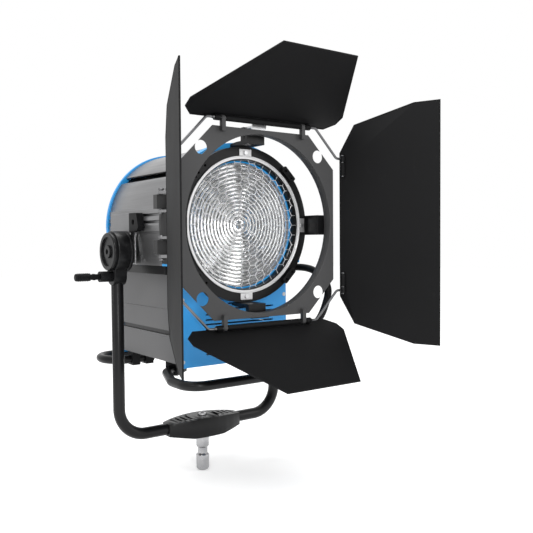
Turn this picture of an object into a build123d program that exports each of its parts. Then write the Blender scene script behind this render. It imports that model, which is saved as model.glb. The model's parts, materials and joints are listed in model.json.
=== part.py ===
"""A large fresnel spotlight: a lamp head with a barndoor, tilting in a tube yoke on a 28 mm spigot.

Millimetres. The origin is on the spigot's axis at the shoulder that rests on the stand.
+Z is up, the light leaves along -Y, and the left side is -X.
"""
import os
from math import cos, radians, sin, sqrt

from build123d import *

os.makedirs("parts", exist_ok=True)

# ---------------------------------------------------------------- driving dimensions
LENS_Z = 449.0          # height of the lens axis
PIVOT_Z = 398.0         # height of the tilt axis, which crosses the spigot's axis
FACE_Y = -232.0         # front face of the barndoor frame; depths are counted back from here
GAP = 0.1               # air between pieces that are fixed to each other
RUN = 0.05              # radial running clearance of a shaft in its bore

TUBE_R = 12.0           # yoke tube
TUBE_WALL = 2.5
YOKE_X = 193.7          # centre of each yoke leg
YOKE_Z = 23.0           # centre of the yoke's bottom bar
SPIGOT_R = 14.0
SPIGOT_LENGTH = 78.0
DISC_R = 41.0           # tilt brake
BOLT_R = 6.0            # tilt pivot bolt
LOCK_Z = PIVOT_Z - 49   # height of the tilt lock's axis

HOUSING_R = 160.0       # outside of the round upper housing
HOUSING_WALL = 4.0
HOUSING_FRONT = -120.0
HOUSING_BACK = 113.0
SIDE_BOTTOM = 371.0     # lower edge of the upper side panels
BOX_HALF = 128.0        # lower box
BOX_TOP = 354.0
BOX_SEAM = 285.0
BOX_GAP = 240.0
BOX_BOTTOM = 181.0
SLOT_HEIGHTS = (469.0, 455.5, 434.0)   # T-slots in the side panels

LENS_CLEAR = 250.0      # clear diameter of the lens
LENS_R = 129.0
RING_R = 152.0          # lens door ring
RING_FRONT = FACE_Y + 60
RING_BACK = FACE_Y + 86
DOOR_PIN_X = -166.0
DOOR_PIN_Y = -138.0
DOOR_PIN_R = 4.0

FRAME_HALF = 176.0      # barndoor frame, across flats / 2
FRAME_EDGE = 111.0      # half length of each straight edge
FRAME_SHEET = 2.0
COLLAR_R = 170.0
FLANGE_R = 174.5
HINGE_OUT = 190.0       # top and bottom hinge axes, from the lens axis
HINGE_SIDE = 198.0      # side hinge axes, from the lens axis
HINGE_DROP = 4.0        # hinge axes stand this far in front of the frame
ROD_R = 3.0
LEAF_SHEET = 1.6
LEAF_OFFSET = 6.0       # leaf sheet's inner face, from its hinge axis

FOCUS_Z = 386.0         # lead screw
FOCUS_R = 6.0


def depth(distance):
    """Y of a plane that lies a distance behind the barndoor frame's front face."""
    return FACE_Y + distance


def facing(y, z=LENS_Z, x=0.0):
    """Sketch plane across the lens axis; extruding from it goes forwards."""
    return Plane(origin=(x, y, z), x_dir=(1, 0, 0), z_dir=(0, -1, 0))


def side_plane(x):
    """Sketch plane seen from the right: local x is +Y and local y is +Z."""
    return Plane(origin=(x, 0, 0), x_dir=(0, 1, 0), z_dir=(1, 0, 0))


def rod(start, end, radius, mode=Mode.ADD):
    """Round bar between two points, in the current part."""
    run = Vector(*end) - Vector(*start)
    add(Solid.make_cylinder(radius, run.length, Plane(origin=start, z_dir=run)), mode=mode)


def block(low, high, mode=Mode.ADD):
    """Rectangular block between two corners, in the current part."""
    size = [high[i] - low[i] for i in range(3)]
    add(Solid.make_box(*size, Plane(origin=low)), mode=mode)


# ================================================================ yoke
with BuildPart() as yoke_tube:
    with BuildLine() as yoke_path:
        FilletPolyline(
            (-YOKE_X, 0, PIVOT_Z - 18), (-YOKE_X, 0, YOKE_Z), (YOKE_X, 0, YOKE_Z), (YOKE_X, 0, PIVOT_Z - 18),
            radius=58,
        )
    with BuildSketch(Plane(origin=(-YOKE_X, 0, PIVOT_Z - 18), z_dir=(0, 0, -1))):
        Circle(TUBE_R)
        Circle(TUBE_R - TUBE_WALL, mode=Mode.SUBTRACT)
    sweep(path=yoke_path.wires()[0])
    with Locations(Plane.XY.offset(YOKE_Z)):
        Cylinder(5.3, 40, mode=Mode.SUBTRACT)
    for side in (-1, 1):
        with Locations(Plane(origin=(side * YOKE_X, 0, LOCK_Z), z_dir=(1, 0, 0))):
            Cylinder(6.2, 40, mode=Mode.SUBTRACT)
yoke_tube.part.label = "yoke_tube"
export_step(yoke_tube.part, "parts/yoke_tube.step")

CENTRE_HALF = 88.0
CENTRE_TOP = 40.0
CENTRE_END = 15.0       # half width at the ends, in plan
with BuildPart() as yoke_centre:
    with BuildSketch():
        with BuildLine():
            ThreePointArc((-CENTRE_HALF, -CENTRE_END), (0, -34), (CENTRE_HALF, -CENTRE_END))
            Line((CENTRE_HALF, -CENTRE_END), (CENTRE_HALF, CENTRE_END))
            ThreePointArc((CENTRE_HALF, CENTRE_END), (0, 34), (-CENTRE_HALF, CENTRE_END))
            Line((-CENTRE_HALF, CENTRE_END), (-CENTRE_HALF, -CENTRE_END))
        make_face()
    extrude(amount=CENTRE_TOP + 5)
    with BuildSketch(Plane.XZ):
        with BuildLine():
            ThreePointArc((-CENTRE_HALF, 35), (0, CENTRE_TOP), (CENTRE_HALF, 35))
            Polyline(
                (CENTRE_HALF, 35), (CENTRE_HALF, 9), (36, 0),
                (-36, 0), (-CENTRE_HALF, 9), (-CENTRE_HALF, 35),
            )
        make_face()
    extrude(amount=50, both=True, mode=Mode.INTERSECT)
    with BuildSketch(Plane.XY.offset(CENTRE_TOP)):
        with Locations(*[(side * step, 0) for side in (-1, 1) for step in (34, 46, 58, 70)]):
            SlotOverall(30, 6, rotation=90)
    extrude(amount=-4, mode=Mode.SUBTRACT)
    with Locations(Plane(origin=(0, 0, YOKE_Z), z_dir=(1, 0, 0))):
        Cylinder(TUBE_R + GAP, 2 * CENTRE_HALF + 10, mode=Mode.SUBTRACT)
    with Locations(Location((0, 0, CENTRE_TOP))):
        CounterBoreHole(5.3, 10.5, 4)
    with Locations(Location((0, 0, 0), (180, 0, 0))):
        Hole(10 + GAP, depth=7)
yoke_centre.part.label = "yoke_centre"
export_step(yoke_centre.part, "parts/yoke_centre.step")

with BuildPart() as spigot:
    with BuildSketch(Plane.XZ):
        with BuildLine():
            Polyline(
                (0, -SPIGOT_LENGTH), (SPIGOT_R - 3, -SPIGOT_LENGTH), (SPIGOT_R, -SPIGOT_LENGTH + 4),
                (SPIGOT_R, -46), (SPIGOT_R - 3.5, -42), (SPIGOT_R - 3.5, -30), (SPIGOT_R, -26),
                (SPIGOT_R, 0), (10, 0), (10, 6.5), (0, 6.5), close=True,
            )
        make_face()
    revolve(axis=Axis.Z)
    with Locations((0, 0, 6.5)):
        Hole(5 + GAP, depth=48)
spigot.part.label = "spigot"
export_step(spigot.part, "parts/spigot.step")

with BuildPart() as spigot_bolt:
    with BuildSketch(Plane.XY.offset(CENTRE_TOP - 4 + GAP)):
        Circle(8)
    extrude(amount=9)
    chamfer(spigot_bolt.edges().group_by(Axis.Z)[-1], 0.8)
    with BuildSketch(Plane.XY.offset(CENTRE_TOP - 4 + GAP)):
        Circle(5)
    extrude(amount=-70)
    with BuildSketch(Plane.XY.offset(CENTRE_TOP + 5 + GAP)):
        RegularPolygon(4.6, 6)
    extrude(amount=-5, mode=Mode.SUBTRACT)
spigot_bolt.part.label = "spigot_bolt"
export_step(spigot_bolt.part, "parts/spigot_bolt.step")

END_INNER = 180.7
END_OUTER = 206.7
with BuildPart() as yoke_ends:
    with BuildSketch(side_plane(END_INNER)):
        with Locations((0, PIVOT_Z)):
            Circle(DISC_R)
        with BuildLine():
            Polyline((-21, PIVOT_Z), (21, PIVOT_Z), (18, LOCK_Z), (-18, LOCK_Z), close=True)
        make_face()
        with Locations((0, LOCK_Z)):
            Circle(18)
    extrude(amount=END_OUTER - END_INNER)
    fillet(yoke_ends.edges().filter_by(GeomType.CIRCLE).group_by(Axis.X)[-1], 1.5)
    with Locations((YOKE_X, 0, PIVOT_Z - 18 - 50)):
        Cylinder(TUBE_R + GAP, 100.2, mode=Mode.SUBTRACT)
    with Locations(Plane(origin=(YOKE_X, 0, PIVOT_Z), z_dir=(1, 0, 0))):
        Cylinder(BOLT_R + GAP, 40, mode=Mode.SUBTRACT)
    with Locations(Plane(origin=(YOKE_X, 0, LOCK_Z), z_dir=(1, 0, 0))):
        Cylinder(6.2, 40, mode=Mode.SUBTRACT)
    with BuildSketch(side_plane(END_OUTER)):
        with Locations((0, PIVOT_Z)):
            Circle(36)
            Circle(31, mode=Mode.SUBTRACT)
    extrude(amount=-1.5, mode=Mode.SUBTRACT)
    mirror(about=Plane.YZ)
yoke_ends.part.label = "yoke_ends"
export_step(yoke_ends.part, "parts/yoke_ends.step")

with BuildPart() as pivot_bolts:
    with BuildSketch(side_plane(END_OUTER + GAP)):
        with Locations((0, PIVOT_Z)):
            Circle(38)
    extrude(amount=8)
    fillet(pivot_bolts.edges().group_by(Axis.X)[-1], 3)
    with BuildSketch(side_plane(END_OUTER + GAP + 8)):
        with Locations((0, PIVOT_Z)):
            Circle(29)
            Circle(13, mode=Mode.SUBTRACT)
    extrude(amount=-4, mode=Mode.SUBTRACT)
    with BuildSketch(side_plane(END_OUTER + GAP)):
        with Locations((0, PIVOT_Z)):
            Circle(BOLT_R)
    extrude(amount=-44)
    with BuildSketch(side_plane(END_OUTER + GAP + 8)):
        with Locations((0, PIVOT_Z)):
            RegularPolygon(6, 6)
    extrude(amount=-5, mode=Mode.SUBTRACT)
    mirror(about=Plane.YZ)
pivot_bolts.part.label = "pivot_bolts"
export_step(pivot_bolts.part, "parts/pivot_bolts.step")

# ================================================================ tilt lock
LOCK_JOINT_X = -243.0
with BuildPart() as lock_hub:
    with BuildSketch(Plane(origin=(-END_OUTER - 0.5, 0, LOCK_Z), z_dir=(-1, 0, 0))):
        Circle(10.5)
    extrude(amount=24)
    with BuildSketch(Plane(origin=(-END_OUTER - 24.5, 0, LOCK_Z), z_dir=(-1, 0, 0))):
        Rectangle(11, 7)
    extrude(amount=12.3)
    with BuildSketch(Plane(origin=(LOCK_JOINT_X, 0, LOCK_Z), z_dir=(0, 1, 0))):
        Circle(6.3)
    extrude(amount=3.5, both=True)
    with BuildSketch(Plane(origin=(-END_OUTER - 0.5, 0, LOCK_Z), z_dir=(-1, 0, 0))):
        Circle(6.1)
    extrude(amount=-25.4)
    with Locations(Plane(origin=(LOCK_JOINT_X, 0, LOCK_Z), z_dir=(0, 1, 0))):
        Cylinder(2.5 + RUN, 60, mode=Mode.SUBTRACT)
lock_hub.part.label = "lock_hub"
export_step(lock_hub.part, "parts/lock_hub.step")

with BuildPart() as lock_tip:
    with BuildSketch(Plane(origin=(LOCK_JOINT_X - 8, 0, LOCK_Z), z_dir=(-1, 0, 0))):
        Circle(7.5)
    extrude(amount=30)
    fillet(lock_tip.edges().group_by(Axis.X)[0], 3)
    for side in (-1, 1):
        block((LOCK_JOINT_X - 9, side * 5.5 - 1.6, LOCK_Z - 5), (LOCK_JOINT_X, side * 5.5 + 1.6, LOCK_Z + 5))
        rod((LOCK_JOINT_X, side * 5.5 - 1.6, LOCK_Z), (LOCK_JOINT_X, side * 5.5 + 1.6, LOCK_Z), 5)
    rod((LOCK_JOINT_X, -7.1, LOCK_Z), (LOCK_JOINT_X, 7.1, LOCK_Z), 2.5)
lock_tip.part.label = "lock_tip"
export_step(lock_tip.part, "parts/lock_tip.step")

# ================================================================ tilt carriage
RAIL_IN = 161.0
RAIL_OUT = 174.0
RAIL_FRONT = -18.0
RAIL_BACK = 72.0
RAIL_LOW = 373.0
RAIL_HIGH = 474.0
with BuildPart() as brake_discs:
    with BuildSketch(side_plane(RAIL_OUT + GAP)):
        with Locations((0, PIVOT_Z)):
            Circle(DISC_R)
            Circle(BOLT_R + RUN, mode=Mode.SUBTRACT)
    extrude(amount=END_INNER - RAIL_OUT - 3 * GAP)
    mirror(about=Plane.YZ)
brake_discs.part.label = "brake_discs"
export_step(brake_discs.part, "parts/brake_discs.step")


RAIL_MIDDLE = (RAIL_IN + RAIL_OUT) / 2
RAIL_CELLS = ((RAIL_HIGH - 18, 28), (RAIL_LOW + 52, 24), (RAIL_LOW + 20, 30))   # middle height and height
with BuildPart() as slide_rails:
    with BuildSketch(facing(RAIL_BACK, z=0)):
        with Locations((RAIL_MIDDLE, (RAIL_LOW + RAIL_HIGH) / 2)):
            RectangleRounded(RAIL_OUT - RAIL_IN, RAIL_HIGH - RAIL_LOW, 2)
        for middle, height in RAIL_CELLS:
            with Locations((RAIL_MIDDLE, middle)):
                RectangleRounded(RAIL_OUT - RAIL_IN - 5, height, 2, mode=Mode.SUBTRACT)
    extrude(amount=RAIL_BACK - RAIL_FRONT)
    with Locations(Plane(origin=(RAIL_IN, 0, PIVOT_Z), z_dir=(1, 0, 0))):
        Cylinder(BOLT_R + RUN, 60, mode=Mode.SUBTRACT)
    mirror(about=Plane.YZ)
slide_rails.part.label = "slide_rails"
export_step(slide_rails.part, "parts/slide_rails.step")

KEY_NECK = 2.2          # half width of a key's neck
KEY_HEAD = 4.2          # half width of its head
SLOT_NECK = 2.5
SLOT_HEAD = 4.5
with BuildPart() as slide_keys:
    for height in (SLOT_HEIGHTS[0], SLOT_HEIGHTS[2]):
        block((156.6, RAIL_FRONT + 6, height - KEY_NECK), (RAIL_IN - GAP, RAIL_BACK - 6, height + KEY_NECK))
        block((154.1, RAIL_FRONT + 6, height - KEY_HEAD), (156.6, RAIL_BACK - 6, height + KEY_HEAD))
    mirror(about=Plane.YZ)
slide_keys.part.label = "slide_keys"
export_step(slide_keys.part, "parts/slide_keys.step")

CLAMP_FRONT = RAIL_FRONT - 40
with BuildPart() as rail_clamps:
    with BuildSketch(side_plane(RAIL_IN)):
        with BuildLine():
            Polyline(
                (RAIL_FRONT - GAP, RAIL_HIGH), (RAIL_FRONT - GAP, RAIL_HIGH - 38),
                (CLAMP_FRONT + 4, RAIL_HIGH - 34), (CLAMP_FRONT, RAIL_HIGH - 28),
                (CLAMP_FRONT + 8, RAIL_HIGH), close=True,
            )
        make_face()
    extrude(amount=14)
    fillet(rail_clamps.edges().filter_by(Axis.X), 2)
    with Locations(Plane(origin=(RAIL_IN + 14, RAIL_FRONT - 18, RAIL_HIGH - 18), z_dir=(1, 0, 0))):
        CounterBoreHole(3, 5.5, 5)
    mirror(about=Plane.YZ)
rail_clamps.part.label = "rail_clamps"
export_step(rail_clamps.part, "parts/rail_clamps.step")

# ================================================================ head: housing
CASTING_R = 162.0
CASTING_BACK = HOUSING_FRONT - GAP
CASTING_FRONT = RING_BACK + 0.6
REAR_R = 163.5
REAR_DEPTH = 12.0
COVER_START = 36.0      # the top cover spans from this angle to its mirror image
VENT_ANGLE = 6.0        # open gap between the top cover and each side panel


def housing_outline(radius, bottom, half_width):
    """Round top and straight sides, in the current sketch on a facing() plane."""
    with BuildLine() as outline:
        ThreePointArc((-radius, 0), (0, radius), (radius, 0))
        Polyline((radius, 0), (half_width, bottom - LENS_Z), (-half_width, bottom - LENS_Z), (-radius, 0))
    make_face(outline.edges())


def sector(outer, inner, start, span):
    """Part of a ring, in the current sketch."""
    with BuildLine() as outline:
        out_arc = CenterArc((0, 0), outer, start, span)
        in_arc = CenterArc((0, 0), inner, start, span)
        Line(out_arc @ 0, in_arc @ 0)
        Line(out_arc @ 1, in_arc @ 1)
    make_face(outline.edges())


with BuildPart() as front_casting:
    with BuildSketch(facing(CASTING_BACK)):
        housing_outline(CASTING_R, SIDE_BOTTOM, 156)
    extrude(amount=CASTING_BACK - CASTING_FRONT)
    with BuildSketch(facing(CASTING_FRONT + 8)):
        Circle(150)
    extrude(amount=8)
    with BuildSketch(facing(CASTING_BACK + 5)):
        Circle(137)
    extrude(amount=40, mode=Mode.SUBTRACT)
    rod((DOOR_PIN_X, DOOR_PIN_Y, LENS_Z - 66), (DOOR_PIN_X, DOOR_PIN_Y, LENS_Z + 66), 11, mode=Mode.SUBTRACT)
    for side in (-1, 1):
        block(
            (-178, DOOR_PIN_Y - 6, LENS_Z + side * 42 - 13), (-150, DOOR_PIN_Y + 8, LENS_Z + side * 42 + 13)
        )
    rod((DOOR_PIN_X, DOOR_PIN_Y, LENS_Z - 66), (DOOR_PIN_X, DOOR_PIN_Y, LENS_Z + 66), DOOR_PIN_R + GAP,
        mode=Mode.SUBTRACT)
front_casting.part.label = "front_casting"
export_step(front_casting.part, "parts/front_casting.step")

with BuildPart() as rear_casting:
    with BuildSketch(facing(HOUSING_BACK + REAR_DEPTH - 4)):
        housing_outline(REAR_R, SIDE_BOTTOM, 158)
    extrude(amount=REAR_DEPTH - 4 - GAP)
    extrude(rear_casting.faces().sort_by(Axis.Y)[-1], amount=4, taper=45)
    with BuildSketch(facing(HOUSING_BACK + REAR_DEPTH - 5)):
        housing_outline(REAR_R - 12, SIDE_BOTTOM + 8, 146)
    extrude(amount=40, mode=Mode.SUBTRACT)
    with BuildSketch(facing(HOUSING_BACK + REAR_DEPTH)):
        for row in range(7):
            with Locations((0, 96 - 14 * row)):
                SlotOverall(2 * sqrt(130 ** 2 - (96 - 14 * row) ** 2) - 40, 5)
    extrude(amount=10, mode=Mode.SUBTRACT)
    with Locations(facing(HOUSING_BACK + REAR_DEPTH, FOCUS_Z)):
        Cylinder(FOCUS_R + 1, 60, mode=Mode.SUBTRACT)
rear_casting.part.label = "rear_casting"
export_step(rear_casting.part, "parts/rear_casting.step")

VENT_END = COVER_START + VENT_ANGLE    # the plain top cover lies between the two vents
with BuildPart() as top_cover:
    with BuildSketch(facing(HOUSING_BACK)):
        sector(HOUSING_R, HOUSING_R - HOUSING_WALL, VENT_END, 180 - 2 * VENT_END)
    extrude(amount=HOUSING_BACK - HOUSING_FRONT)
top_cover.part.label = "top_cover"
export_step(top_cover.part, "parts/top_cover.step")

with BuildPart() as vent_baffles:
    with BuildSketch(facing(HOUSING_BACK)):
        sector(HOUSING_R - HOUSING_WALL - 6, HOUSING_R - HOUSING_WALL - 7.5, COVER_START - 8, 24)
        mirror(about=Plane.YZ)
    extrude(amount=HOUSING_BACK - HOUSING_FRONT)
vent_baffles.part.label = "vent_baffles"
export_step(vent_baffles.part, "parts/vent_baffles.step")


with BuildPart() as side_panels:
    with BuildSketch(facing(HOUSING_BACK)):
        sector(HOUSING_R, HOUSING_R - HOUSING_WALL, 0, COVER_START)
        with BuildLine():
            Polyline(
                (HOUSING_R, 0), (154, SIDE_BOTTOM + GAP - LENS_Z), (150, SIDE_BOTTOM + GAP - LENS_Z),
                (HOUSING_R - HOUSING_WALL, 0), close=True,
            )
        make_face()
        with Locations((153.5, 4)):
            Rectangle(9, 56)
    extrude(amount=HOUSING_BACK - HOUSING_FRONT)
    for height in SLOT_HEIGHTS:
        block((156.4, HOUSING_FRONT, height - SLOT_NECK), (165, HOUSING_BACK, height + SLOT_NECK),
              mode=Mode.SUBTRACT)
        block((153.9, HOUSING_FRONT, height - SLOT_HEAD), (156.8, HOUSING_BACK, height + SLOT_HEAD),
              mode=Mode.SUBTRACT)
    mirror(about=Plane.YZ)
side_panels.part.label = "side_panels"
export_step(side_panels.part, "parts/side_panels.step")

with BuildPart() as divider:
    block((-150, HOUSING_FRONT, BOX_TOP + GAP), (150, HOUSING_BACK, SIDE_BOTTOM - GAP))
    block((-118, HOUSING_FRONT, BOX_TOP - 10), (118, -56, SIDE_BOTTOM + 10), mode=Mode.SUBTRACT)
    block((-100, -40, BOX_TOP - 10), (100, 90, SIDE_BOTTOM - 6), mode=Mode.SUBTRACT)
    with BuildSketch(Plane.XY.offset(SIDE_BOTTOM)):
        with Locations((0, 24)):
            with GridLocations(22, 100, 7, 1):
                SlotOverall(60, 8, rotation=90)
    extrude(amount=-40, mode=Mode.SUBTRACT)
divider.part.label = "divider"
export_step(divider.part, "parts/divider.step")


with BuildPart() as lower_panels:
    block((BOX_HALF - 3, -BOX_HALF, BOX_GAP + 3), (BOX_HALF, BOX_HALF, BOX_TOP - GAP))
    block((BOX_HALF - 1, -BOX_HALF, BOX_SEAM - 1), (BOX_HALF + 1, BOX_HALF, BOX_SEAM + 1), mode=Mode.SUBTRACT)
    mirror(about=Plane.YZ)
    rod((BOX_HALF - 10, 62, 300), (BOX_HALF + 10, 62, 300), 8, mode=Mode.SUBTRACT)
lower_panels.part.label = "lower_panels"
export_step(lower_panels.part, "parts/lower_panels.step")

with BuildPart() as gap_strip:
    block((-BOX_HALF + 3, -BOX_HALF + 1, BOX_GAP - 5.9), (BOX_HALF - 3, BOX_HALF - 1, BOX_GAP + 2.9))
    block((-BOX_HALF + 6, -BOX_HALF + 4, BOX_GAP - 10), (BOX_HALF - 6, BOX_HALF - 4, BOX_GAP + 10),
          mode=Mode.SUBTRACT)
gap_strip.part.label = "gap_strip"
export_step(gap_strip.part, "parts/gap_strip.step")

with BuildPart() as base_tray:
    block((-BOX_HALF, -BOX_HALF, BOX_BOTTOM), (BOX_HALF, BOX_HALF, BOX_GAP - 6))
    block((-BOX_HALF + 3, -BOX_HALF + 3, BOX_BOTTOM + 3), (BOX_HALF - 3, BOX_HALF - 3, BOX_GAP),
          mode=Mode.SUBTRACT)
    with BuildSketch(Plane.XY.offset(BOX_BOTTOM)):
        with GridLocations(20, 70, 9, 2):
            SlotOverall(50, 6, rotation=90)
    extrude(amount=3, mode=Mode.SUBTRACT)
base_tray.part.label = "base_tray"
export_step(base_tray.part, "parts/base_tray.step")

COVER_SKIN = 8.0
COVER_LOW = 174.0
with BuildPart() as front_cover:
    block((-BOX_HALF - 2, -BOX_HALF - COVER_SKIN, COVER_LOW), (BOX_HALF + 2, -BOX_HALF - GAP, BOX_TOP - 1))
    fillet(front_cover.edges().filter_by(Axis.Z).sort_by(Axis.Y)[:2], 6)
    with BuildSketch(facing(-BOX_HALF)):
        Circle(151)
    extrude(amount=20, mode=Mode.SUBTRACT)
    with BuildSketch(facing(-BOX_HALF, z=0)):
        with Locations((11, 0)):
            for group in range(6):
                for step in (0, 9):
                    with Locations((0, 205 + 19.5 * group - step)):
                        SlotOverall(164 if group < 5 else 60, 3.4)
    extrude(amount=20, mode=Mode.SUBTRACT)
    with Locations(*[facing(-BOX_HALF - COVER_SKIN, z, x) for x in (-122, 122) for z in (305, 186)]):
        CounterSinkHole(2.2, 4.4)
front_cover.part.label = "front_cover"
export_step(front_cover.part, "parts/front_cover.step")

SWITCH = (78.0, 300.0)
with BuildPart() as rear_cover:
    block((-BOX_HALF - 2, BOX_HALF + GAP, COVER_LOW), (BOX_HALF + 2, BOX_HALF + COVER_SKIN, BOX_TOP - 1))
    fillet(rear_cover.edges().filter_by(Axis.Z).sort_by(Axis.Y)[-2:], 6)
    with BuildSketch(facing(BOX_HALF + COVER_SKIN, z=0)):
        for row in range(5):
            with Locations((0, 200 + 10 * row)):
                SlotOverall(180, 4)
        with Locations(SWITCH):
            Rectangle(28, 22)
    extrude(amount=20, mode=Mode.SUBTRACT)
rear_cover.part.label = "rear_cover"
export_step(rear_cover.part, "parts/rear_cover.step")

with BuildPart() as cover_screws:
    for x in (-122, 122):
        for z in (305, 186):
            with BuildSketch(facing(-BOX_HALF - COVER_SKIN + 0.3, z, x)):
                Circle(4)
            extrude(amount=0.4)
            with BuildSketch(facing(-BOX_HALF - COVER_SKIN + 0.3, z, x)):
                Circle(4)
            with BuildSketch(facing(-BOX_HALF - COVER_SKIN + 2.4, z, x)):
                Circle(2)
            loft()
            with BuildSketch(facing(-BOX_HALF - GAP, z, x)):
                Circle(2)
            extrude(amount=6)
cover_screws.part.label = "cover_screws"
export_step(cover_screws.part, "parts/cover_screws.step")

# ================================================================ head: skids, cable and controls
SKID_Z = 159.0
SKID_R = 9.0
FRONT_SKID = (
    (-55, -14), (-128, -78), (-163, -165), (-163, -235),
    (163, -235), (163, -165), (128, -78), (55, -14),
)
REAR_SKID = ((-60, 112), (-161, 112), (-161, 204), (161, 204), (161, 112), (60, 112))
with BuildPart() as skids:
    for points, bend in ((FRONT_SKID, 34), (REAR_SKID, 45)):
        with BuildLine() as skid_path:
            FilletPolyline(*[(x, y, SKID_Z) for x, y in points], radius=bend)
        skid_wire = skid_path.wires()[0]
        with BuildSketch(Plane(origin=skid_wire @ 0, z_dir=skid_wire % 0)):
            Circle(SKID_R)
            Circle(SKID_R - 2, mode=Mode.SUBTRACT)
        sweep(path=skid_wire)
skids.part.label = "skids"
export_step(skids.part, "parts/skids.step")


def clamp_places(side):
    """Middle and direction of each clamp on one side: two on the front skid's end, two on the rear's."""
    (start_x, start_y), (bend_x, bend_y) = FRONT_SKID[:2]
    slope = Vector(side * (start_x - bend_x), bend_y - start_y, 0).normalized()
    across = Vector(side, 0, 0)
    front = Vector(side * 60.7, -19, SKID_Z)
    rear = Vector(side * 66, REAR_SKID[0][1], SKID_Z)
    return ((front + slope * 12, slope), (front + slope * 50, slope),
            (rear + across * 8, across), (rear + across * 40, across))


with BuildPart() as skid_clamps:
    for side in (-1, 1):
        for origin, unit in clamp_places(side):
            with Locations(Plane(origin=origin, x_dir=unit, z_dir=(0, 0, 1))):
                with Locations((0, 0, BOX_BOTTOM - GAP - SKID_Z)):
                    Box(18, 26, BOX_BOTTOM - GAP - SKID_Z + 12, align=(Align.CENTER, Align.CENTER, Align.MAX))
            rod(origin - unit * 12, origin + unit * 12, SKID_R + GAP, mode=Mode.SUBTRACT)
skid_clamps.part.label = "skid_clamps"
export_step(skid_clamps.part, "parts/skid_clamps.step")

with BuildPart() as feet:
    with BuildSketch(Plane.XY.offset(BOX_BOTTOM - GAP)):
        with Locations((-103, -108), (103, -108), (-103, 70), (103, 70)):
            Circle(9)
    extrude(amount=-10, taper=8)
feet.part.label = "feet"
export_step(feet.part, "parts/feet.step")

CABLE_R = 7.5
GLAND = (BOX_HALF, 62.0, 300.0)
PLUG_START = (156.0, -104.0, 184.0)
with BuildPart() as cable:
    with BuildLine() as cable_path:
        Spline(
            (GLAND[0] + 9.5, GLAND[1], GLAND[2]), (164, -6, 316), (168, -66, 351), (172, -128, 360),
            (175, -184, 349), (175, -216, 315), (175, -209, 288), (174, -185, 250),
            (168, -145, 205), PLUG_START,
            tangents=((1, 0, 0), (-0.05, 1, 0)),
        )
    cable_wire = cable_path.wires()[0]
    with BuildSketch(Plane(origin=cable_wire @ 0, z_dir=cable_wire % 0)):
        Circle(CABLE_R)
    sweep(path=cable_wire)
cable.part.label = "cable"
export_step(cable.part, "parts/cable.step")

with BuildPart() as cable_gland:
    rod((GLAND[0] - 8, GLAND[1], GLAND[2]), (GLAND[0] + GAP, GLAND[1], GLAND[2]), 7.9)
    with BuildSketch(Plane(origin=(GLAND[0] + GAP, GLAND[1], GLAND[2]), z_dir=(1, 0, 0))):
        RegularPolygon(13, 6)
    extrude(amount=9)
cable_gland.part.label = "cable_gland"
export_step(cable_gland.part, "parts/cable_gland.step")

PLUG_WAY = Vector(-0.05, 1, 0).normalized()
with BuildPart() as cable_plug:
    plug_start = Vector(*PLUG_START) + PLUG_WAY * GAP
    with BuildSketch(Plane(origin=plug_start, z_dir=PLUG_WAY)):
        Circle(10)
    with BuildSketch(Plane(origin=plug_start + PLUG_WAY * 18, z_dir=PLUG_WAY)):
        Circle(15)
    loft()
    rod(plug_start + PLUG_WAY * 18, plug_start + PLUG_WAY * 70, 15)
    rod(plug_start + PLUG_WAY * 60, plug_start + PLUG_WAY * 71, 11, mode=Mode.SUBTRACT)
cable_plug.part.label = "cable_plug"
export_step(cable_plug.part, "parts/cable_plug.step")

SWITCH_Y = BOX_HALF + COVER_SKIN
with BuildPart() as switch_frame:
    with BuildSketch(facing(SWITCH_Y + 2 + GAP, SWITCH[1], SWITCH[0])):
        RectangleRounded(34, 28, 3)
    extrude(amount=2)
    with BuildSketch(facing(SWITCH_Y + GAP, SWITCH[1], SWITCH[0])):
        Rectangle(27.6, 21.6)
    extrude(amount=16)
    with BuildSketch(facing(SWITCH_Y + 5, SWITCH[1], SWITCH[0])):
        Rectangle(22, 17)
    extrude(amount=14, mode=Mode.SUBTRACT)
    rod((SWITCH[0] - 12, SWITCH_Y, SWITCH[1]), (SWITCH[0] + 12, SWITCH_Y, SWITCH[1]), 1.5 + RUN,
        mode=Mode.SUBTRACT)
switch_frame.part.label = "switch_frame"
export_step(switch_frame.part, "parts/switch_frame.step")

with BuildPart() as switch_rocker:
    with BuildSketch(side_plane(SWITCH[0] - 10)):
        with BuildLine():
            Polyline(
                (SWITCH_Y + 6, SWITCH[1] + 7), (SWITCH_Y + 3, SWITCH[1]), (SWITCH_Y + 6, SWITCH[1] - 7),
                (SWITCH_Y - 4, SWITCH[1] - 5), (SWITCH_Y - 4, SWITCH[1] + 5), close=True,
            )
        make_face()
    extrude(amount=20)
    rod((SWITCH[0] - 12, SWITCH_Y, SWITCH[1]), (SWITCH[0] + 12, SWITCH_Y, SWITCH[1]), 1.5)
switch_rocker.part.label = "switch_rocker"
export_step(switch_rocker.part, "parts/switch_rocker.step")

IGNITOR_Y = 49.0        # middle of the ignitor, at the back of the lower box where it helps balance the head
with BuildPart() as ignitor:
    block((-105, IGNITOR_Y - 65, 200), (-15, IGNITOR_Y + 65, 285))
    fillet(ignitor.edges().filter_by(Axis.Z), 3)
    block((-105, IGNITOR_Y - 71, 200), (-15, IGNITOR_Y + 71, 203))
    rod((-60, IGNITOR_Y, 284), (-60, IGNITOR_Y, 302), 9)
ignitor.part.label = "ignitor"
export_step(ignitor.part, "parts/ignitor.step")

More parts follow.
